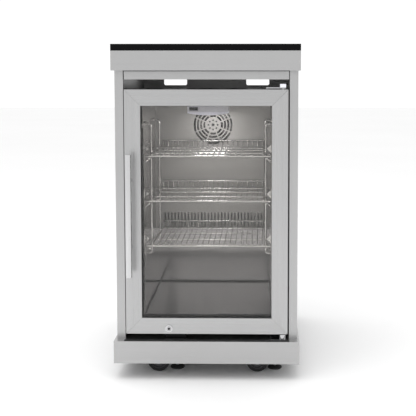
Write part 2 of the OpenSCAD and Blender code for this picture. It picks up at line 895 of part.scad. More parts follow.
module door_core() {
    seat1 = door_y + lip_d + outer_pane_t;
    seat2 = seat1 + pane_air;
    bite = glass_bite + 1;
    air_bite = 2;
    color(grey) difference() {
        block([-door_x + skin_t, door_y + skin_t, door_low + skin_t],
            [door_x - skin_t, core_back, door_top - skin_t]);
        block([-glass_x - skin_t, door_y, glass_low - skin_t],
            [glass_x + skin_t, door_y + lip_d, glass_top + skin_t]);
        block([-glass_x - bite, door_y + lip_d, glass_low - bite],
            [glass_x + bite, seat1, glass_top + bite]);
        block([-glass_x - air_bite, seat1 - past, glass_low - air_bite],
            [glass_x + air_bite, seat2 + past, glass_top + air_bite]);
        block([-glass_x - bite, seat2, glass_low - bite],
            [glass_x + bite, core_back + past, glass_top + bite]);
        door_bores();
    }
}

module pane(y0, t) {
    block([-glass_x - glass_bite, y0, glass_low - glass_bite],
        [glass_x + glass_bite, y0 + t, glass_top + glass_bite]);
}

module glass_outer() {
    color(tint) pane(door_y + lip_d, outer_pane_t);
}

module glass_inner() {
    color(tint) pane(door_y + lip_d + outer_pane_t + pane_air, inner_pane_t);
}

// The moulded inner side of the door, with a rebate that holds the panes and a pocket for the cam
module door_liner() {
    seat3 = door_y + lip_d + outer_pane_t + pane_air + inner_pane_t;
    cam_gap = 3;
    pocket_wall = 5;
    color(black) difference() {
        union() {
            block([-door_x, core_back, door_low], [door_x, door_back, door_top]);
            block([-glass_x - glass_bite, seat3, glass_low - glass_bite],
                [glass_x + glass_bite, door_back, glass_top + glass_bite]);
        }
        block([-glass_x, door_y, glass_low], [glass_x, door_back + past, glass_top]);
        block([lock_x - cam_w / 2 - cam_gap, core_back - past, door_low - past],
            [lock_x + cam_len + cam_w / 2 + cam_gap, door_back - pocket_wall, lock_z + cam_w / 2 + cam_gap]);
        hinge_bores();
    }
}

module door_gasket() {
    edge = 8.5;
    strip = 14;
    color(black) difference() {
        block([-door_x + edge, door_back, door_low + edge],
            [door_x - edge, door_back + gasket_t, door_top - edge]);
        block([-door_x + edge + strip, door_back - past, door_low + edge + strip],
            [door_x - edge - strip, door_back + gasket_t + past, door_top - edge - strip]);
    }
}

module handle_bar() {
    color(bright) bar_z([handle_x, handle_y, handle_z - handle_len / 2], handle_r, handle_len);
}

module handle_posts() {
    color(bright) difference() {
        union() {
            for (side = [-1, 1]) {
                bar_y([handle_x, handle_y, handle_z + side * handle_post_gap / 2], handle_r - 2, handle_out);
            }
        }
        bar_z([handle_x, handle_y, handle_z - handle_len / 2 - past], handle_r, handle_len + 2 * past);
    }
}

flange_t = 3;
module lock_barrel() {
    color(bright) difference() {
        union() {
            bar_y([lock_x, door_y - flange_t, lock_z], lock_r, flange_t);
            bar_y([lock_x, door_y - flange_t, lock_z], barrel_r, core_back - door_y + flange_t);
        }
        bar_y([lock_x, door_y - flange_t - past, lock_z], plug_r + run, door_t);
    }
}

module lock_plug() {
    proud = flange_t + 0.5;
    key_x = 4;
    key_z = 0.8;
    key_d = 6;
    color(bright) difference() {
        bar_y([lock_x, door_y - proud, lock_z], plug_r, cam_y - door_y + proud);
        block([lock_x - key_x, door_y - proud - past, lock_z - key_z],
            [lock_x + key_x, door_y + key_d, lock_z + key_z]);
    }
}

// The cam lies along +X while unlocked and turns down behind the striker
module lock_cam() {
    color(grey) translate([lock_x, cam_y, lock_z]) union() {
        rotate([-90, 0, 0]) cylinder(r = cam_w / 2, h = cam_t);
        block([0, 0, -cam_w / 2], [cam_len + 4, cam_t, cam_w / 2]);
    }
}

// ---- Casters and levelling feet ----

plate_t = 4;
king_r = 5;
head_h = 10;
head_gap = 0.5;
head_top = deck_low - plate_t - head_gap;
axle_r = 4;
// Swivel axis of a caster; its wheel trails towards +X
function swivel_x(side) = side * wheel_x - trail;

module caster_plates() {
    plate = 60;
    king_len = head_h + head_gap + 2;
    color(steel) for (side = [-1, 1], y = caster_y) {
        translate([swivel_x(side), y, deck_low - plate_t]) union() {
            translate([-plate / 2, -plate / 2, 0]) cube([plate, plate, plate_t]);
            translate([0, 0, -king_len]) cylinder(r = king_r, h = king_len + past);
        }
    }
}

module caster_fork(side, y) {
    leg_gap = 1.5;
    leg_t = 2.5;
    leg_y = wheel_w / 2 + leg_gap;
    head_x = 16;
    head_r = 17;
    nut = 2;
    translate([swivel_x(side), y, 0]) color(bright) difference() {
        union() {
            translate([0, 0, head_top - head_h]) cylinder(r = head_r, h = head_h);
            for (s = [-1, 1]) {
                translate([0, s * (leg_y + leg_t / 2) + leg_t / 2, 0])
                    rotate([90, 0, 0]) linear_extrude(leg_t)
                    polygon([[-head_x, head_top], [head_x, head_top], [trail + 9, wheel_r],
                        [trail + 4, wheel_r - 8], [trail - 4, wheel_r - 8], [trail - 9, wheel_r]]);
            }
            translate([-head_x, -leg_y - leg_t, head_top - head_h])
                cube([2 * head_x, 2 * (leg_y + leg_t), head_h]);
            bar_y([trail, -leg_y - leg_t - nut, wheel_r], axle_r, 2 * (leg_y + leg_t + nut));
        }
        translate([0, 0, head_top - head_h - past]) cylinder(r = king_r + run, h = head_h + 2 * past);
    }
}

module caster_wheel(side, y) {
    tread = 3;
    recess_d = 2;
    recess_r = 10;
    rim_w = 6;
    color(black) translate([swivel_x(side) + trail, y, wheel_r])
        rotate([90, 0, 0]) rotate_extrude() difference() {
        union() {
            translate([0, -wheel_w / 2]) square([wheel_r - tread, wheel_w]);
            translate([0, -wheel_w / 2 + tread]) square([wheel_r, wheel_w - 2 * tread]);
            for (s = [-1, 1]) {
                translate([wheel_r - tread, s * (wheel_w / 2 - tread)]) circle(r = tread);
            }
        }
        translate([0, -wheel_w]) square([axle_r + run, 2 * wheel_w]);
        for (s = [-1, 1]) {
            translate([recess_r, s * wheel_w / 2 - recess_d])
                square([wheel_r - tread - rim_w - recess_r, 2 * recess_d]);
        }
    }
}

module caster_fork_fl() caster_fork(-1, caster_y[0]);
module caster_fork_fr() caster_fork(1, caster_y[0]);
module caster_fork_rl() caster_fork(-1, caster_y[1]);
module caster_fork_rr() caster_fork(1, caster_y[1]);
module caster_wheel_fl() caster_wheel(-1, caster_y[0]);
module caster_wheel_fr() caster_wheel(1, caster_y[0]);
module caster_wheel_rl() caster_wheel(-1, caster_y[1]);
module caster_wheel_rr() caster_wheel(1, caster_y[1]);

// A foot's stem has room to screw up through the deck to just below the refrigerator
module levelling_foot(x) {
    pad_h = 8;
    nut_z = 16;
    nut_h = 7;
    nut_r = 9;
    stem_top = fridge_low - fridge_foot_h + foot_air - foot_travel;
    color(black) translate([x, foot_y, 0]) union() {
        cylinder(r = foot_r, h = pad_h);
        cylinder(r = stem_r, h = stem_top);
        translate([0, 0, nut_z]) cylinder(r = nut_r, h = nut_h, $fn = 6);
    }
}
module levelling_foot_left() levelling_foot(foot_x[0]);
module levelling_foot_right() levelling_foot(foot_x[1]);

countertop();
top_frame();
side_panel_left();
side_panel_right();
header_strip();
rear_panel();
plinth_cover();
base_deck();
caster_plates();
panel_screws();
fridge_shell();
insulation();
fridge_liner();
face_frame();
evaporator_cover();
evaporator_coil();
fan_motor();
control_housing();
light_lens();
rack_left();
rack_right();
wall_strips();
compressor();
compressor_mounts();
condenser();
refrigerant_tube();
drain_tray();
top_hinge();
hinge_cap();
bottom_hinge();
lock_striker();
cable_gland();
fridge_feet();
door_frame();
door_core();
door_liner();
glass_outer();
glass_inner();
door_gasket();
handle_bar();
handle_posts();
lock_barrel();
lock_plug();
lock_cam();
shelf_top();
shelf_middle();
shelf_bottom();
fan_blades();
light_switch();
caster_fork_fl();
caster_fork_fr();
caster_fork_rl();
caster_fork_rr();
caster_wheel_fl();
caster_wheel_fr();
caster_wheel_rl();
caster_wheel_rr();
levelling_foot_left();
levelling_foot_right();
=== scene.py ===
# Outdoor glass-door refrigerator cabinet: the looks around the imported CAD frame. Metres, door towards -Y.
import math

import bmesh
import bpy
from mathutils import Matrix, Vector


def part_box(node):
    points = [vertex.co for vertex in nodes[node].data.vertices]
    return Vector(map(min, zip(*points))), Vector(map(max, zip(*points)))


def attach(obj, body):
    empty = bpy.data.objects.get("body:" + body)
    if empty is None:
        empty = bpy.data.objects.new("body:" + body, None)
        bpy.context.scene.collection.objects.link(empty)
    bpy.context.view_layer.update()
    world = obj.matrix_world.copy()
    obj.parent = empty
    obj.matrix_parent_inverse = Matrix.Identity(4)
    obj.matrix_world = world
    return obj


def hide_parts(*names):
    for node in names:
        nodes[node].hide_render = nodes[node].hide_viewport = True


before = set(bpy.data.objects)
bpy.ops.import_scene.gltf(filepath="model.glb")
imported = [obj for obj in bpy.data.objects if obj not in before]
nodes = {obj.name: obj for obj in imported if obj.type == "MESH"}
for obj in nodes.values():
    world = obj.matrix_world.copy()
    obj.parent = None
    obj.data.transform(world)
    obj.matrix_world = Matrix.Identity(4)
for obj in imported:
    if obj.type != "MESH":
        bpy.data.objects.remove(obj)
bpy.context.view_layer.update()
scene = bpy.context.scene

# ---- Places that come from the CAD nodes ----

body_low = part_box("side_panel_left")[0]
door_low, door_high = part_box("door_frame")
liner_low, liner_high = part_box("fridge_liner")
door_mid_z = (door_low.z + door_high.z) / 2
door_half_w = (door_high.x - door_low.x) / 2
door_half_h = (door_high.z - door_low.z) / 2
SHELVES = ("shelf_top", "shelf_middle", "shelf_bottom")


# ---- Camera ----

# The eye is a little below the countertop's height and right of the middle. The photograph looks level with a
# large shift; a small tilt down replaces most of that shift, so that other views keep the whole object.
CAMERA_DISTANCE = 2.35
CAMERA_X = 0.1389
CAMERA_Z = 0.8354
CAMERA_YAW = 0.986
CAMERA_PITCH = -4.63
CAMERA_LENS = 74.8
CAMERA_SHIFT = (-0.083, -0.15)


def make_camera():
    data = bpy.data.cameras.new("photo_camera")
    data.sensor_width = 36
    data.lens = CAMERA_LENS
    data.shift_x, data.shift_y = CAMERA_SHIFT
    data.clip_start, data.clip_end = 0.05, 60
    camera = bpy.data.objects.new("photo_camera", data)
    camera.location = (CAMERA_X, body_low.y - CAMERA_DISTANCE, CAMERA_Z)
    camera.rotation_euler = (math.radians(90 + CAMERA_PITCH), 0, math.radians(CAMERA_YAW))
    scene.collection.objects.link(camera)
    scene.camera = camera


make_camera()


# ---- Material helpers ----

# The part of a noise's range that most of its values keep to
NOISE_SPAN = (0.3, 0.7)


class Paint:
    """A node material under construction: one Principled shader and the textures that feed it."""

    def __init__(self, name, color, rough, metal=0.0, **sockets):
        self.material = bpy.data.materials.new(name)
        self.material.use_nodes = True
        self.tree = self.material.node_tree
        self.tree.nodes.clear()
        self.shader = self.add("ShaderNodeBsdfPrincipled")
        out = self.add("ShaderNodeOutputMaterial")
        self.tree.links.new(self.shader.outputs[0], out.inputs["Surface"])
        self.shader.inputs["Base Color"].default_value = (*color, 1)
        self.shader.inputs["Roughness"].default_value = rough
        self.shader.inputs["Metallic"].default_value = metal
        for key, value in sockets.items():
            self.shader.inputs[key.replace("_", " ")].default_value = value
        self.color = color
        self.rough = rough
        self.height = None

    def add(self, kind, **settings):
        node = self.tree.nodes.new(kind)
        for key, value in settings.items():
            setattr(node, key, value)
        return node

    def link(self, source, target):
        self.tree.links.new(source, target)

    def place(self, scale):
        """Object coordinates, stretched by scale along each axis."""
        where = self.add("ShaderNodeTexCoord")
        mapping = self.add("ShaderNodeMapping")
        mapping.inputs["Scale"].default_value = scale
        self.link(where.outputs["Object"], mapping.inputs["Vector"])
        return mapping.outputs[0]

    def noise(self, scale, detail):
        """Noise of a scale per metre, one number or one for each axis."""
        node = self.add("ShaderNodeTexNoise")
        node.inputs["Scale"].default_value = 1
        node.inputs["Detail"].default_value = detail
        axes = (scale,) * 3 if isinstance(scale, (int, float)) else scale
        self.link(self.place(axes), node.inputs["Vector"])
        return node.outputs["Fac"]

    def voronoi(self, scale):
        """Rounded cells, scale of them per metre."""
        node = self.add("ShaderNodeTexVoronoi")
        node.inputs["Scale"].default_value = scale
        self.link(self.place((1, 1, 1)), node.inputs["Vector"])
        return node.outputs["Distance"]

    def feed(self, value, socket):
        """A number goes into the socket as its value, another node's output as a link."""
        if isinstance(value, (int, float)):
            socket.default_value = value
        else:
            self.link(value, socket)

    def math(self, operation, a, b=0):
        node = self.add("ShaderNodeMath", operation=operation)
        self.feed(a, node.inputs[0])
        self.feed(b, node.inputs[1])
        return node.outputs[0]

    def remap(self, noise, low, high):
        """The usual span of a noise, stretched to run from low to high."""
        node = self.add("ShaderNodeMapRange")
        self.link(noise, node.inputs["Value"])
        for key, number in zip(("From Min", "From Max", "To Min", "To Max"), (*NOISE_SPAN, low, high)):
            node.inputs[key].default_value = number
        return node.outputs[0]

    def mix(self, factor, a, b):
        """A number between a and b."""
        node = self.add("ShaderNodeMix", data_type="FLOAT")
        self.link(factor, node.inputs[0])
        self.feed(a, node.inputs[2])
        self.feed(b, node.inputs[3])
        return node.outputs[0]

    def tone(self, value, spread, span=NOISE_SPAN):
        """The base colour varies by spread, as a share of itself."""
        ramp = self.add("ShaderNodeValToRGB")
        for element, position, factor in zip(ramp.color_ramp.elements, span, (1 - spread, 1 + spread)):
            element.position = position
            element.color = (*(min(1, c * factor) for c in self.color), 1)
        self.link(value, ramp.inputs[0])
        self.link(ramp.outputs[0], self.shader.inputs["Base Color"])

    def roughness(self, value, spread):
        """The roughness varies by spread to either side."""
        low, high = max(0.02, self.rough - spread), min(1, self.rough + spread)
        self.link(self.remap(value, low, high), self.shader.inputs["Roughness"])

    def bump(self, value, depth):
        """Bump of a depth in metres; a second call adds to the first."""
        node = self.add("ShaderNodeBump")
        node.inputs["Strength"].default_value = 1.0
        node.inputs["Distance"].default_value = depth
        self.link(value, node.inputs["Height"])
        if self.height:
            self.link(self.height, node.inputs["Normal"])
        self.height = node.outputs[0]
        self.link(self.height, self.shader.inputs["Normal"])


# Brushed steel: scales per metre of its hairs and streaks, across and along the grain
HAIR, HAIR_ALONG = 1400, 9
STREAK, STREAK_ALONG = 90, 1.1
BRUSH_TONE = 0.035
BRUSH_ROUGH = 0.07
BRUSH_DEPTH = 0.000012


def brushed(name, color, rough, along, grain=1.0):
    """Brushed steel whose grain runs along one axis, 0 for X, 1 for Y, 2 for Z."""
    paint = Paint(name, color, rough, 1.0)
    fine, broad = [HAIR * grain] * 3, [STREAK] * 3
    fine[along], broad[along] = HAIR_ALONG, STREAK_ALONG
    hair = paint.noise(fine, 2)
    streak = paint.noise(broad, 4)
    smudge = paint.noise(4, 3)
    paint.tone(paint.mix(smudge, streak, smudge), BRUSH_TONE)
    hair_share = 0.6
    worn = paint.math("MULTIPLY", smudge, 1 - hair_share)
    paint.roughness(paint.math("ADD", paint.math("MULTIPLY", hair, hair_share), worn), BRUSH_ROUGH)
    paint.bump(hair, BRUSH_DEPTH)
    return paint


def crossed_brush(name, color, rough):
    """Brushed steel of the door: the grain follows each bar and turns at the mitres."""
    paint = Paint(name, color, rough, 1.0)
    where = paint.add("ShaderNodeSeparateXYZ")
    paint.link(paint.place((1, 1, 1)), where.inputs[0])
    from_side = paint.math("SUBTRACT", door_half_w, paint.math("ABSOLUTE", where.outputs["X"]))
    height = paint.math("SUBTRACT", where.outputs["Z"], door_mid_z)
    from_end = paint.math("SUBTRACT", door_half_h, paint.math("ABSOLUTE", height))
    upright = paint.math("LESS_THAN", from_side, from_end)
    hair_deep = 900
    hair = paint.mix(upright, paint.noise((HAIR_ALONG, hair_deep, HAIR), 2),
                     paint.noise((HAIR, hair_deep, HAIR_ALONG), 2))
    streak = paint.mix(upright, paint.noise((STREAK_ALONG, STREAK, STREAK), 4),
                       paint.noise((STREAK, STREAK, STREAK_ALONG), 4))
    paint.tone(streak, BRUSH_TONE)
    paint.roughness(hair, BRUSH_ROUGH)
    paint.bump(hair, BRUSH_DEPTH)
    return paint


def plastic(name, color, rough, grain=900.0, depth=0.00002, **sockets):
    """Moulded plastic with a fine spark-eroded texture and faint handling marks."""
    paint = Paint(name, color, rough, **sockets)
    pebble = paint.voronoi(grain)
    wear = paint.noise(18, 4)
    paint.tone(wear, 0.12)
    paint.roughness(wear, 0.08)
    paint.bump(pebble, depth)
    return paint


def rubber(name, color=(0.022, 0.022, 0.023)):
    """Soft rubber: dull, with dust in its pores."""
    paint = Paint(name, color, 0.72)
    dust = paint.noise(60, 6)
    paint.tone(dust, 0.35)
    paint.roughness(dust, 0.12)
    paint.bump(paint.noise(1500, 2), 0.00003)
    return paint


def coated(name, color, rough, metal=0.0, **sockets):
    """Painted or plated sheet: a faint orange peel and a few cloudy marks."""
    paint = Paint(name, color, rough, metal, **sockets)
    cloud = paint.noise(12, 4)
    paint.tone(cloud, 0.07)
    paint.roughness(cloud, 0.06)
    paint.bump(paint.noise(260, 2), 0.00002)
    return paint


def stone(name):
    """Honed black stone: dark ground, fine crystals, a soft polish."""
    paint = Paint(name, (0.0045, 0.0045, 0.005), 0.34, Specular_IOR_Level=0.05)
    crystal = paint.voronoi(420)
    cloud = paint.noise(9, 8)
    paint.tone(paint.mix(cloud, crystal, cloud), 0.5, (0.2, 0.8))
    paint.roughness(crystal, 0.07)
    paint.bump(paint.noise(700, 3), 0.00002)
    return paint


def chrome(name, color, rough):
    """Bright plated wire and fittings with slight clouding."""
    paint = Paint(name, color, rough, 1.0)
    cloud = paint.noise(45, 4)
    paint.tone(cloud, 0.06)
    paint.roughness(cloud, 0.05)
    paint.bump(paint.noise(500, 2), 0.00001)
    return paint


def clear_glass(name):
    """Toughened pane with a faint grey tint and a trace of wiping marks."""
    paint = Paint(name, (0.885, 0.88, 0.87), 0.0, Transmission_Weight=1.0, IOR=1.3)
    wipe = paint.noise((3, 3, 14), 4)
    paint.link(paint.remap(wipe, 0.0, 0.02), paint.shader.inputs["Roughness"])
    return paint


# ---- Materials, one per kind of surface ----

STEEL = (0.465, 0.465, 0.466)
steel_x = brushed("brushed_steel_across", STEEL, 0.33, along=0).material
steel_z = brushed("brushed_steel_upright", STEEL, 0.33, along=2).material
door_steel = crossed_brush("brushed_steel_door", (0.47, 0.47, 0.472), 0.31).material
handle_steel = brushed("handle_steel", (0.62, 0.62, 0.625), 0.22, along=2, grain=1.5).material
liner_steel = brushed("liner_steel", (0.44, 0.43, 0.435), 0.15, along=2, grain=0.6).material
# The cavity floor's steel is the liner's steel made darker: painted shade. Its lower roughness is its polish.
floor_steel_painted_shade = brushed("floor_steel_painted_shade", (0.33, 0.325, 0.33), 0.10, along=0, grain=0.6).material
cover_paint = coated("cover_panel", (0.45, 0.44, 0.43), 0.36, metal=0.75).material
wire_chrome = chrome("chrome_wire", (0.74, 0.73, 0.72), 0.13).material
bright_chrome = chrome("lock_chrome", (0.58, 0.58, 0.59), 0.14).material
zinc = coated("zinc_plate", (0.42, 0.42, 0.43), 0.38, metal=0.9).material
deck_paint = coated("deck_steel", (0.16, 0.16, 0.17), 0.5, metal=0.6).material
black_stone = stone("stone_top").material
black_paint = coated("shell_black", (0.008, 0.008, 0.009), 0.5, Specular_IOR_Level=0.2).material
black_plastic = plastic("black_plastic", (0.012, 0.012, 0.013), 0.5).material
core_plastic = plastic("core_plastic", (0.055, 0.055, 0.06), 0.5).material
# The white plastic glows faintly: painted light, as the control housing and the hinge cap are no lamps.
white_plastic = plastic("white_plastic", (0.80, 0.80, 0.86), 0.38, Emission_Color=(0.9, 0.9, 1.0, 1),
                        Emission_Strength=0.10).material
lens_plastic = plastic("lens_plastic", (0.80, 0.80, 0.88), 0.42, grain=1400, depth=0.00001,
                       Emission_Color=(0.86, 0.86, 1.0, 1), Emission_Strength=0.30).material
black_rubber = rubber("rubber_black").material
tyre_rubber = rubber("tyre_rubber", (0.016, 0.016, 0.017)).material
gasket_rubber = rubber("gasket_rubber", (0.035, 0.035, 0.037)).material
copper = coated("copper_tube", (0.55, 0.27, 0.16), 0.3, metal=1.0).material
fin_metal = coated("coil_metal", (0.10, 0.10, 0.105), 0.45, metal=0.8).material
foam = plastic("foam", (0.62, 0.55, 0.33), 0.9, grain=300, depth=0.0002).material
pane_glass = clear_glass("pane").material


# ---- CAD nodes that keep their shape: material, softened edges ----

def shade_smooth(mesh, crease):
    """Smooth shading, with a sharp edge wherever faces meet at more than crease degrees."""
    mesh.polygons.foreach_set("use_smooth", [True] * len(mesh.polygons))
    mesh.set_sharp_from_angle(angle=math.radians(crease))


def finish_node(name, material, edge):
    """A CAD node keeps its shape: it gets a material, smooth shading and a small edge radius."""
    thing = nodes[name]
    thing.data.materials.clear()
    thing.data.materials.append(material)
    shade_smooth(thing.data, 35)
    if edge:
        bevel = thing.modifiers.new("edge_radius", "BEVEL")
        bevel.width = edge
        bevel.segments = 2
        bevel.limit_method = "ANGLE"
        bevel.angle_limit = math.radians(50)
        bevel.harden_normals = True


# Material, edge radius and the nodes that get them
KEPT = (
    (black_stone, 0.0012, ("countertop",)),
    (steel_x, 0.0005, ("top_frame", "plinth_cover", "header_strip")),
    (steel_z, 0.0005, ("side_panel_left", "side_panel_right", "rear_panel")),
    (door_steel, 0.00045, ("door_frame",)),
    (handle_steel, 0.0012, ("handle_bar",)),
    (handle_steel, 0, ("handle_posts",)),
    (liner_steel, 0, ("fridge_liner",)),
    (cover_paint, 0, ("evaporator_cover",)),
    (wire_chrome, 0.0005, ("wall_strips",)),
    (bright_chrome, 0.0005, ("lock_barrel", "lock_plug", "bottom_hinge")),
    (zinc, 0.0004, ("caster_plates", "panel_screws", "top_hinge", "lock_cam")),
    (deck_paint, 0.0005, ("base_deck",)),
    (black_paint, 0.0008, ("fridge_shell", "compressor", "lock_striker")),
    (black_plastic, 0.0006, ("face_frame", "fan_motor", "drain_tray", "cable_gland", "door_liner")),
    (black_plastic, 0.0004, ("light_switch",)),
    (core_plastic, 0, ("door_core", "fan_blades")),
    (white_plastic, 0.0015, ("control_housing",)),
    (white_plastic, 0.0012, ("hinge_cap",)),
    (lens_plastic, 0.0015, ("light_lens",)),
    (black_rubber, 0.001, ("compressor_mounts", "fridge_feet")),
    (copper, 0, ("condenser", "refrigerant_tube")),
    (fin_metal, 0, ("evaporator_coil",)),
    (foam, 0, ("insulation",)),
    (pane_glass, 0, ("glass_outer", "glass_inner")),
    (zinc, 0.0005, ("caster_fork_fl", "caster_fork_fr", "caster_fork_rl", "caster_fork_rr")),
)
for kept_material, kept_edge, kept_names in KEPT:
    for kept_name in kept_names:
        finish_node(kept_name, kept_material, kept_edge)


# ---- Mesh building ----

def piece(name, bm, material, body, slot, *replaced):
    """A finished mesh piece that rides on a body and may stand for CAD nodes."""
    bmesh.ops.recalc_face_normals(bm, faces=bm.faces)
    mesh = bpy.data.meshes.new(name)
    bm.to_mesh(mesh)
    bm.free()
    shade_smooth(mesh, 40)
    mesh.materials.append(material)
    thing = bpy.data.objects.new(name, mesh)
    scene.collection.objects.link(thing)
    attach(thing, body)
    if replaced:
        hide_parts(*replaced)


def rounded(points, radius):
    """The same path with each inner corner turned into an arc."""
    steps = 5
    points = [Vector(p) for p in points]
    path = [points[0]]
    for before, corner, after in zip(points, points[1:], points[2:]):
        back, ahead = (before - corner).normalized(), (after - corner).normalized()
        reach = radius / math.tan(back.angle(ahead) / 2)
        start, end = corner + back * reach, corner + ahead * reach
        for i in range(steps + 1):
            t = i / steps
            path.append(start * (1 - t) ** 2 + corner * 2 * t * (1 - t) + end * t ** 2)
    path.append(points[-1])
    return path


def tube(bm, path, radius, sides):
    """A round closed tube along a path."""
    path = [Vector(p) for p in path]
    rings = []
    up = None
    turn = [2 * math.pi * k / sides for k in range(sides)]
    for i, point in enumerate(path):
        ahead = path[min(i + 1, len(path) - 1)] - path[max(i - 1, 0)]
        ahead.normalize()
        if up is None:
            up = ahead.orthogonal().normalized()
        up = (up - ahead * up.dot(ahead)).normalized()
        across = ahead.cross(up)
        rings.append([bm.verts.new(point + radius * (up * math.cos(a) + across * math.sin(a))) for a in turn])
    for low, high in zip(rings, rings[1:]):
        for k in range(sides):
            bm.faces.new((low[k], low[(k + 1) % sides], high[(k + 1) % sides], high[k]))
    bm.faces.new(rings[0][::-1])
    bm.faces.new(rings[-1])


def lathe(bm, profile, centre, axis, sides):
    """A closed outline of (radius, height) turned about an axis through centre. It may touch the axis."""
    turn = Vector((0, 0, 1)).rotation_difference(Vector(axis)).to_matrix()
    centre = Vector(centre)
    columns = []
    for k in range(sides):
        a = 2 * math.pi * k / sides
        columns.append([turn @ Vector((r * math.cos(a), r * math.sin(a), h)) + centre for r, h in profile])
    verts = []
    for j, (r, _) in enumerate(profile):
        if r == 0:
            verts.append([bm.verts.new(columns[0][j])] * sides)
        else:
            verts.append([bm.verts.new(columns[k][j]) for k in range(sides)])
    count = len(profile)
    for j in range(count):
        here, there = verts[j], verts[(j + 1) % count]
        if here[0] is here[1] and there[0] is there[1]:
            continue
        for k in range(sides):
            n = (k + 1) % sides
            bm.faces.new(list(dict.fromkeys((here[k], here[n], there[n], there[k]))))


def ring_sweep(bm, profile, low, high):
    """An outline of (inset, depth) swept round a rectangle in the XZ plane, with mitred corners."""
    corners = []
    for sx, sz in ((-1, -1), (1, -1), (1, 1), (-1, 1)):
        loop = []
        for inset, depth in profile:
            x = (low.x + inset) if sx < 0 else (high.x - inset)
            z = (low.z + inset) if sz < 0 else (high.z - inset)
            loop.append(bm.verts.new((x, low.y + depth, z)))
        corners.append(loop)
    count = len(profile)
    for here, there in zip(corners, corners[1:] + corners[:1]):
        for k in range(count):
            n = (k + 1) % count
            bm.faces.new((here[k], here[n], there[n], there[k]))


# ---- Wire shelves ----

WIRE_R = 0.0016
# The outer cross rods, the two between them and the stop rail at the back
ROD_R = 0.003
THIN_ROD_R = 0.0025
STOP_R = 0.0024
# How far a wire sinks into the rod that it is welded to
WELD = 0.0005
WIRE_COUNT = 20


def wire_shelf(name):
    """Round wires over four cross rods; each wire turns up at the back to carry the stop rail."""
    low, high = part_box(name)
    rod_ends, wire_bend = 0.021, 0.005
    front_rod, back_rod = low.y + 0.004, high.y - 0.0125
    half, depth = high.x - rod_ends, high.y - low.y
    rod_z = low.z + ROD_R
    wire_z = low.z + 2 * ROD_R - WELD + WIRE_R
    stop_y, stop_z = high.y - STOP_R, high.z - STOP_R
    bm = bmesh.new()
    for i in range(WIRE_COUNT + 1):
        x = -half + 2 * half * i / WIRE_COUNT
        wire = [(x, low.y, wire_z), (x, stop_y, wire_z), (x, stop_y, stop_z)]
        tube(bm, rounded(wire, wire_bend), WIRE_R, 10)
    for y, reach, r in (
        (front_rod, high.x, ROD_R),
        (low.y + depth / 3, half + 0.001, THIN_ROD_R),
        (low.y + depth * 2 / 3, half + 0.001, THIN_ROD_R),
        (back_rod, high.x, ROD_R),
    ):
        tube(bm, [(-reach, y, rod_z), (reach, y, rod_z)], r, 16)
    stop_half = half + 2 * WIRE_R
    tube(bm, [(-stop_half, stop_y, stop_z), (stop_half, stop_y, stop_z)], STOP_R, 14)
    piece(name + "_wires", bm, wire_chrome, name, "chrome_wire", name)


for shelf_name in SHELVES:
    wire_shelf(shelf_name)


# ---- Racks beside the shelves ----

POST_R = 0.0035
POST_BEND = 0.008
RAIL_R = 0.0025
# Clear air between a rail and the shelf that rides on it
RAIL_AIR = 0.0003
# How far a rail runs past the shelf's front, and how far it stops short of the shelf's back
RAIL_PAST, RAIL_SHORT = 0.003, 0.006
# A brace stands this far in front of its post, and falls this far to the wall
BRACE_AHEAD, BRACE_DROP = 0.009, 0.016
BRACE_R = 0.0019
# Places of the two posts behind the liner's front edge
POST_DEPTHS = (0.059, 0.269)


def side_rack(name, side):
    """Two posts with feet on the wall, and under each shelf a rail with braces down to the wall."""
    low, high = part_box(name)
    wall = side * max(abs(low.x), abs(high.x))
    post = side * (min(abs(low.x), abs(high.x)) + POST_R)
    post_end, brace_end = wall - side * 0.001, wall - side * 0.0012
    bottom, top = low.z + 2 * POST_R, high.z - 2 * POST_R
    posts = [liner_low.y + depth for depth in POST_DEPTHS]
    foot = [(0, 0), (0.008, 0), (0.008, 0.0016), (0.0045, 0.003), (0, 0.003)]
    bm = bmesh.new()
    for y in posts:
        upright = [(post_end, y, bottom), (post, y, bottom), (post, y, top), (post_end, y, top)]
        tube(bm, rounded(upright, POST_BEND), POST_R, 16)
        for z in (bottom, top):
            lathe(bm, foot, (wall, y, z), (-side, 0, 0), 24)
    for shelf_name in SHELVES:
        shelf_low, shelf_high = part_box(shelf_name)
        rail_z = shelf_low.z - RAIL_AIR - RAIL_R
        front, back = shelf_low.y - RAIL_PAST, shelf_high.y - RAIL_SHORT
        tube(bm, [(post, front, rail_z), (post, back, rail_z)], RAIL_R, 14)
        for y in posts:
            brace_y = y - BRACE_AHEAD
            tube(bm, [(post, brace_y, rail_z), (brace_end, brace_y, rail_z - BRACE_DROP)], BRACE_R, 10)
    piece(name + "_wires", bm, wire_chrome, "cabinet", "chrome_wire", name)


side_rack("rack_left", -1)
side_rack("rack_right", 1)


# ---- Trim ----

def box_mesh(bm, low, high):
    """A closed box between two corners."""
    low, high = Vector(low), Vector(high)
    place = Matrix.Translation((low + high) / 2) @ Matrix.Diagonal((*(high - low), 1))
    bmesh.ops.create_cube(bm, size=1, matrix=place)


def header_shadow_gap():
    """A thin black strip along the top and the sides of the header strip: painted shadow of the gap between
    the header, the stiles and the box above.
    """
    low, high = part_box("header_strip")
    width, depth = 0.0018, 0.0012
    bm = bmesh.new()
    box_mesh(bm, (low.x, low.y - depth, high.z - width), (high.x, low.y, high.z))
    for x in (low.x, high.x - width):
        box_mesh(bm, (x, low.y - depth, low.z), (x + width, low.y, high.z - width))
    piece("header_shadow_gap", bm, black_rubber, "cabinet", "rubber_black")


def ledge_black_strip():
    """A thin black strip on the plinth's ledge, in front of the door."""
    plinth_low, plinth_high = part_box("plinth_cover")
    header_low, header_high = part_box("header_strip")
    hinge_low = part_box("bottom_hinge")[0]
    lip, hinge_air, thick = 0.0012, 0.0005, 0.001
    bm = bmesh.new()
    box_mesh(bm, (header_low.x, plinth_low.y + lip, plinth_high.z),
             (header_high.x, hinge_low.y - hinge_air, plinth_high.z + thick))
    piece("ledge_black_strip", bm, black_rubber, "cabinet", "rubber_black")


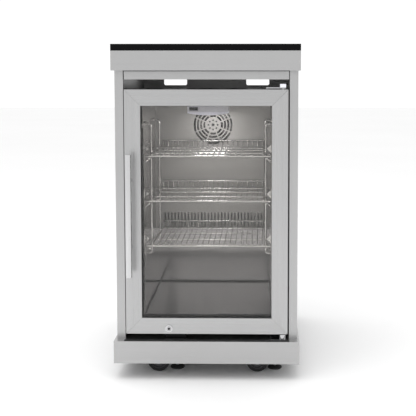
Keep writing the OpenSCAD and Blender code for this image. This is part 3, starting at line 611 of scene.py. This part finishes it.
def cavity_floor():
    """A polished floor sheet, and a dark bead along the back wall and both side walls: painted shade in the
    corners where the floor meets the walls.
    """
    skin, sheet = 0.0015, 0.0009
    back_shade_bead, back_rise, side_shade_bead = 0.004, 0.005, 0.003
    x, back, floor = liner_high.x - skin, liner_high.y - skin, liner_low.z + skin
    front, shade_bead_front, inner_x = liner_low.y + 0.004, back - back_shade_bead, x - side_shade_bead
    bm = bmesh.new()
    box_mesh(bm, (-inner_x, front, floor), (inner_x, shade_bead_front, floor + sheet))
    piece("floor_sheet", bm, floor_steel_painted_shade, "cabinet", "liner_steel")
    # Dark beads in the corners between the floor and the walls: painted shade.
    bm = bmesh.new()
    box_mesh(bm, (-x, shade_bead_front, floor), (x, back, floor + back_rise))
    for left, right in ((-x, -inner_x), (inner_x, x)):
        box_mesh(bm, (left, front, floor), (right, shade_bead_front, floor + side_shade_bead))
    piece("floor_corner_shade", bm, black_rubber, "cabinet", "rubber_black")


header_shadow_gap()
ledge_black_strip()
cavity_floor()


# ---- Door gasket ----

def gasket():
    """A magnetic gasket with its bellows, mitred at the corners."""
    low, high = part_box("door_gasket")
    w, d = 0.014, high.y - low.y
    foot, lip, fold, bellow, shoulder, corner = 0.002, 0.0018, 0.0026, 0.0036, 0.0048, 0.001
    half = [(w - foot, 0), (w - 0.0015, lip), (w - 0.0028, fold), (w - 0.0012, bellow), (w, shoulder),
            (w, d - 0.0008), (w - corner, d)]
    outline = half + [(w - inset, depth) for inset, depth in reversed(half)]
    bm = bmesh.new()
    ring_sweep(bm, outline, low, high)
    piece("door_gasket_bellows", bm, gasket_rubber, "door", "gasket_rubber", "door_gasket")


gasket()


# ---- Casters and levelling feet ----

def arc(cx, cy, r, start, end, steps):
    """Points of an arc in an outline, angles in degrees."""
    turn = [math.radians(start + (end - start) * i / steps) for i in range(steps + 1)]
    return [(cx + r * math.cos(a), cy + r * math.sin(a)) for a in turn]


def caster_wheel(corner):
    """A moulded rubber tyre round a grey hub with a dished face and a cap."""
    name = "caster_wheel_" + corner
    low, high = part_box(name)
    centre = (low + high) / 2
    r, half = (high.z - low.z) / 2, (high.y - low.y) / 2
    inner, shoulder, lip = r * 0.74, 0.003, 0.001
    tyre = [(inner, -half * 0.8), (inner + lip, -half)]
    tyre += arc(r - shoulder, -half + shoulder, shoulder, -90, 0, 4)
    tyre += arc(r - shoulder, half - shoulder, shoulder, 0, 90, 4)
    tyre += [(inner + lip, half), (inner, half * 0.8)]
    bm = bmesh.new()
    lathe(bm, tyre, centre, (0, -1, 0), 64)
    piece(name + "_tyre", bm, tyre_rubber, "wheel_" + corner, "tyre_rubber", name)
    bore, boss, web, rim = 0.00405, 0.009, half * 0.35, half * 0.86
    hub = [(bore, -half), (boss, -half), (boss + 0.0005, -half + lip), (boss + 0.002, -web),
           (inner - 0.004, -web), (inner - 0.002, -rim), (inner, -rim)]
    hub += [(x, -y) for x, y in reversed(hub)]
    bm = bmesh.new()
    lathe(bm, hub, centre, (0, -1, 0), 64)
    piece(name + "_hub", bm, core_plastic, "wheel_" + corner, "core_plastic")


for corner in ("fl", "fr", "rl", "rr"):
    caster_wheel(corner)


def levelling_foot(side):
    """A rubber-shod foot plate with a hexagon nut on a threaded stem."""
    name, body = "levelling_foot_" + side, "foot_" + side
    low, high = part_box(name)
    centre = ((low.x + high.x) / 2, (low.y + high.y) / 2, low.z)
    r, height = (high.x - low.x) / 2, high.z - low.z
    round_r, rim_z, slope_z, pad_h = 0.0015, 0.004, 0.0055, 0.008
    pad = [(0, 0), (r - round_r, 0)] + arc(r - round_r, round_r, round_r, -90, 0, 3)
    pad += [(r, rim_z), (r - 0.002, slope_z), (r * 0.55, pad_h), (0, pad_h)]
    bm = bmesh.new()
    lathe(bm, pad, centre, (0, 0, 1), 48)
    piece(name + "_pad", bm, black_rubber, body, "rubber_black", name)
    stem, pitch, sunk = 0.005, 0.0015, 0.0005
    root = stem - 0.0006
    thread = [(0, pad_h - sunk), (root, pad_h - sunk)]
    for i in range(int((height - pad_h) / pitch)):
        z = pad_h + i * pitch
        thread += [(root, z), (stem, z + pitch / 2)]
    thread += [(stem - 0.0008, height), (0, height)]
    bm = bmesh.new()
    lathe(bm, thread, centre, (0, 0, 1), 24)
    nut_low, nut_high, nut_r, hole_r, chamfer_r, chamfer_h = 0.016, 0.023, 0.009, 0.0052, 0.0078, 0.0008
    nut = [(hole_r, nut_low), (chamfer_r, nut_low), (nut_r, nut_low + chamfer_h),
           (nut_r, nut_high - chamfer_h), (chamfer_r, nut_high), (hole_r, nut_high)]
    lathe(bm, nut, centre, (0, 0, 1), 6)
    piece(name + "_stem", bm, zinc, body, "zinc")


levelling_foot("left")
levelling_foot("right")


# ---- Lock ----

def keyway():
    """A dark disc round the key slot and a thin dark ring round the plug: painted shade of the key slot and
    of the groove.
    """
    low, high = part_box("lock_plug")
    centre = ((low.x + high.x) / 2, low.y, (low.z + high.z) / 2)
    keyway_shade, groove_shade, width, sunk, proud = 0.0036, 0.0054, 0.0006, -0.0001, 0.0003
    bm = bmesh.new()
    for inner, outer in ((0, keyway_shade), (groove_shade, groove_shade + width)):
        outline = [(inner, sunk), (outer, sunk), (outer, proud), (inner, proud)]
        lathe(bm, outline, centre, (0, -1, 0), 32)
    piece("lock_keyway_shade", bm, black_plastic, "lock", "black_plastic")


keyway()


# ---- Floor and light ----

def studio_floor():
    """A plain pale floor, larger than the picture."""
    bm = bmesh.new()
    bmesh.ops.create_grid(bm, x_segments=1, y_segments=1, size=20)
    mesh = bpy.data.meshes.new("studio_floor")
    bm.to_mesh(mesh)
    bm.free()
    floor = bpy.data.objects.new("studio_floor", mesh)
    scene.collection.objects.link(floor)
    paint = Paint("studio_floor", (0.93, 0.93, 0.93), 0.9)
    paint.tone(paint.noise(0.6, 2), 0.01)
    mesh.materials.append(paint.material)


# The world's strength rises between these two directions, from behind the camera (-1) to ahead of it (1)
WORLD_TURN = (-0.35, 0.25)
WORLD_STRENGTH = (1.0, 1.06)


def studio_world():
    """A white surround, a little brighter ahead of the camera than behind it."""
    world = bpy.data.worlds.new("studio")
    world.use_nodes = True
    scene.world = world
    tree = world.node_tree
    tree.nodes.clear()
    where = tree.nodes.new("ShaderNodeTexCoord")
    axes = tree.nodes.new("ShaderNodeSeparateXYZ")
    ahead = tree.nodes.new("ShaderNodeMapRange")
    for key, number in zip(("From Min", "From Max", "To Min", "To Max"), (*WORLD_TURN, *WORLD_STRENGTH)):
        ahead.inputs[key].default_value = number
    light = tree.nodes.new("ShaderNodeBackground")
    out = tree.nodes.new("ShaderNodeOutputWorld")
    tree.links.new(where.outputs["Generated"], axes.inputs[0])
    tree.links.new(axes.outputs["Y"], ahead.inputs["Value"])
    tree.links.new(ahead.outputs[0], light.inputs["Strength"])
    tree.links.new(light.outputs[0], out.inputs["Surface"])
    light.inputs["Color"].default_value = (1, 1, 1, 1)


def area_lamp(name, place, target, size, power):
    """A rectangular lamp that looks from place to target: metres and watts."""
    data = bpy.data.lights.new(name, "AREA")
    data.shape = "RECTANGLE"
    data.size, data.size_y = size
    data.energy = power
    lamp = bpy.data.objects.new(name, data)
    lamp.location = place
    lamp.rotation_euler = (Vector(target) - Vector(place)).to_track_quat("-Z", "Y").to_euler()
    scene.collection.objects.link(lamp)


def cavity_lamp():
    """The refrigerator's own light, just below its lens."""
    lens_low, lens_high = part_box("light_lens")
    middle = (lens_low + lens_high) / 2
    drop, lean = 0.004, 0.03
    place, target = (middle.x, middle.y, lens_low.z - drop), (0, middle.y + lean, 0)
    area_lamp("cavity_lamp", place, target, size=(0.09, 0.06), power=0.9)


studio_floor()
studio_world()
area_lamp("softbox_top", place=(-0.6, -0.8, 3.6), target=(0, 0, 0.3), size=(3.4, 3.4), power=45)
area_lamp("softbox_left", place=(-2.4, -2.6, 1.7), target=(0, 0, 0.5), size=(1.4, 2.2), power=10)
cavity_lamp()
scene.view_settings.view_transform = "Standard"
